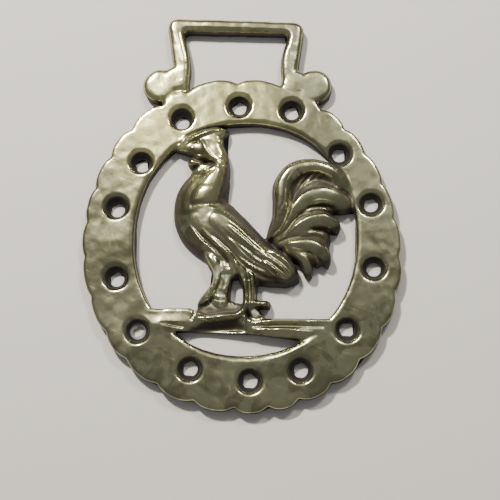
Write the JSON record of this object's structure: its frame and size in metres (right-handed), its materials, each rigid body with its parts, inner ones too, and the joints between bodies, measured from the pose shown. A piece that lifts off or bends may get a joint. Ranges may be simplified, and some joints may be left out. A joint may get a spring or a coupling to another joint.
{
  "type": "horse brass",
  "caption": "Cast harness ornament: a scalloped, pierced ring with countersunk holes around a standing cockerel in relief, with a strap loop on top. It lies loose on its flat back.",
  "frame": {"origin": "on the flat back, under the middle of the outline's box", "axes": "+Z out of the face, +Y towards the strap loop, +X to the right seen from the front"},
  "size_m": [0.0728, 0.094, 0.0056],
  "materials": {
    "brass": "worn satin cast brass, olive yellow on the ring, dark brown patina in holes and recesses, pale polish residue around the legs"
  },
  "bodies": {
    "root": {"horse_brass": "brass"}
  },
  "joints": []
}
